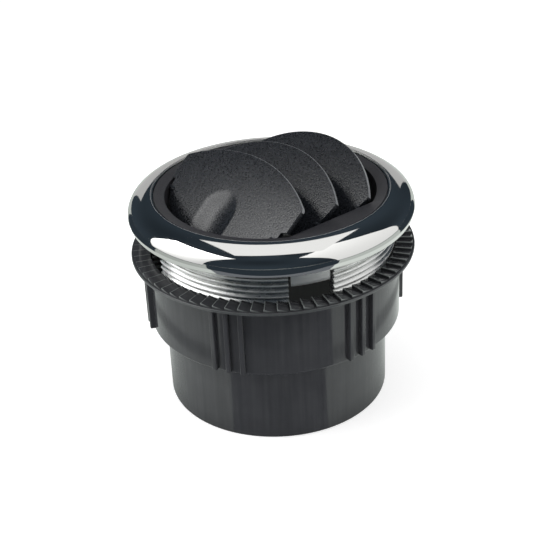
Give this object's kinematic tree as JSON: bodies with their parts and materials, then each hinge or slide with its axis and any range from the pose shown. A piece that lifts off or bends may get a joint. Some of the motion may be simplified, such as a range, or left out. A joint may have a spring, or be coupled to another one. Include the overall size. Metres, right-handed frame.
{
  "type": "air conditioning outlet vent",
  "caption": "Round panel air outlet: black hose spigot and threaded cup with a toothed clamping flange, chrome bezel, and a turning ring of tilting louvre blades.",
  "frame": {"origin": "centre of the hose end of the spigot, on its end face", "axes": "+Z is the way the air leaves, along the duct; -Y faces the viewer of the picture, +X is to the viewer's right"},
  "size_m": [0.094, 0.094, 0.0844],
  "materials": {
    "housing_plastic": "moulded black plastic, semi-gloss",
    "bezel_chrome": "bright chrome plating on moulded plastic",
    "rotor_plastic": "moulded black plastic, matte",
    "vane_plastic": "moulded black plastic, fine matte grain",
    "link_plastic": "moulded black plastic, matte"
  },
  "bodies": {
    "housing": {"duct_housing": "housing_plastic"},
    "bezel": {"bezel_ring": "bezel_chrome"},
    "rotor": {"rotor_ring": "rotor_plastic"},
    "front_blade": {"vane_front": "vane_plastic"},
    "middle_blade": {"vane_middle": "vane_plastic"},
    "rear_blade": {"vane_rear": "vane_plastic"},
    "link": {"link_bar": "link_plastic"}
  },
  "joints": [
    {"name": "bezel_clamp", "type": "slide", "parent": "housing", "child": "bezel", "axis": [0, 0, 1], "range_m": [-0.009, 0.006]},
    {"name": "rotor_spin", "type": "hinge", "parent": "bezel", "child": "rotor", "pos_m": [0, 0, 0.07], "axis": [0, 0, 1], "continuous": true},
    {"name": "vane_front_tilt", "type": "hinge", "parent": "rotor", "child": "front_blade", "pos_m": [-0.01604, -0.01253, 0.07], "axis": [0.6157, -0.788, 0], "range_deg": [-32, 40]},
    {"name": "vane_middle_tilt", "type": "hinge", "parent": "rotor", "child": "middle_blade", "pos_m": [-0.00299, -0.00234, 0.07], "axis": [0.6157, -0.788, 0], "range_deg": [-32, 40]},
    {"name": "vane_rear_tilt", "type": "hinge", "parent": "rotor", "child": "rear_blade", "pos_m": [0.01005, 0.00785, 0.07], "axis": [0.6157, -0.788, 0], "range_deg": [-32, 40]},
    {"name": "link_swing", "type": "hinge", "parent": "front_blade", "child": "link", "pos_m": [-0.02703, 0.00052, 0.06403], "axis": [0.6157, -0.788, 0], "range_deg": [-40, 32]}
  ],
  "couplings": [
    {"joint": "vane_middle_tilt", "follows": "vane_front_tilt", "ratio": 1},
    {"joint": "vane_rear_tilt", "follows": "vane_front_tilt", "ratio": 1},
    {"joint": "link_swing", "follows": "vane_front_tilt", "ratio": -1}
  ]
}
